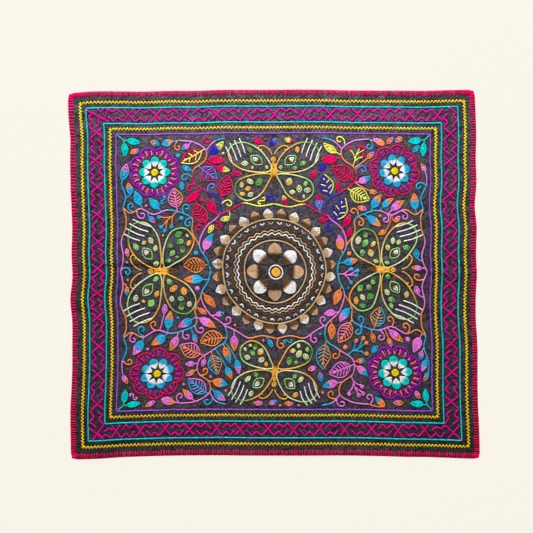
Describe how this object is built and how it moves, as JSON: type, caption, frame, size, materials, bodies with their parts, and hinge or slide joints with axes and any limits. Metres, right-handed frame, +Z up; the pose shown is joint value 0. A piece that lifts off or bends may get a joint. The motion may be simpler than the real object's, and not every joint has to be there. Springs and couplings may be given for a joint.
{
  "type": "embroidered cloth",
  "caption": "Flat square of dark cotton, hand embroidered all over in bright yarn inside zigzag and corded borders, with a blanket-stitched red edge",
  "frame": {"origin": "on the surface that the cloth lies on, under the middle of its outline's box", "axes": "+X along the long side, to the right as the face is seen; +Y to the top edge; +Z up, out of the embroidered face"},
  "size_m": [0.6182, 0.5554, 0.0059],
  "materials": {
    "ground_cotton": "matt plain-woven cotton, near black",
    "edging_yarn": "matt red embroidery yarn",
    "teal_yarn": "soft teal embroidery yarn",
    "yellow_yarn": "soft yellow embroidery yarn",
    "magenta_yarn": "soft magenta embroidery yarn",
    "violet_yarn": "soft violet embroidery yarn",
    "mixed_yarn": "embroidery yarn in many colours"
  },
  "bodies": {
    "root": {"ground_cloth": "ground_cotton", "edging_top": "edging_yarn", "edging_right": "edging_yarn", "edging_bottom": "edging_yarn", "edging_left": "edging_yarn"}
  },
  "joints": []
}
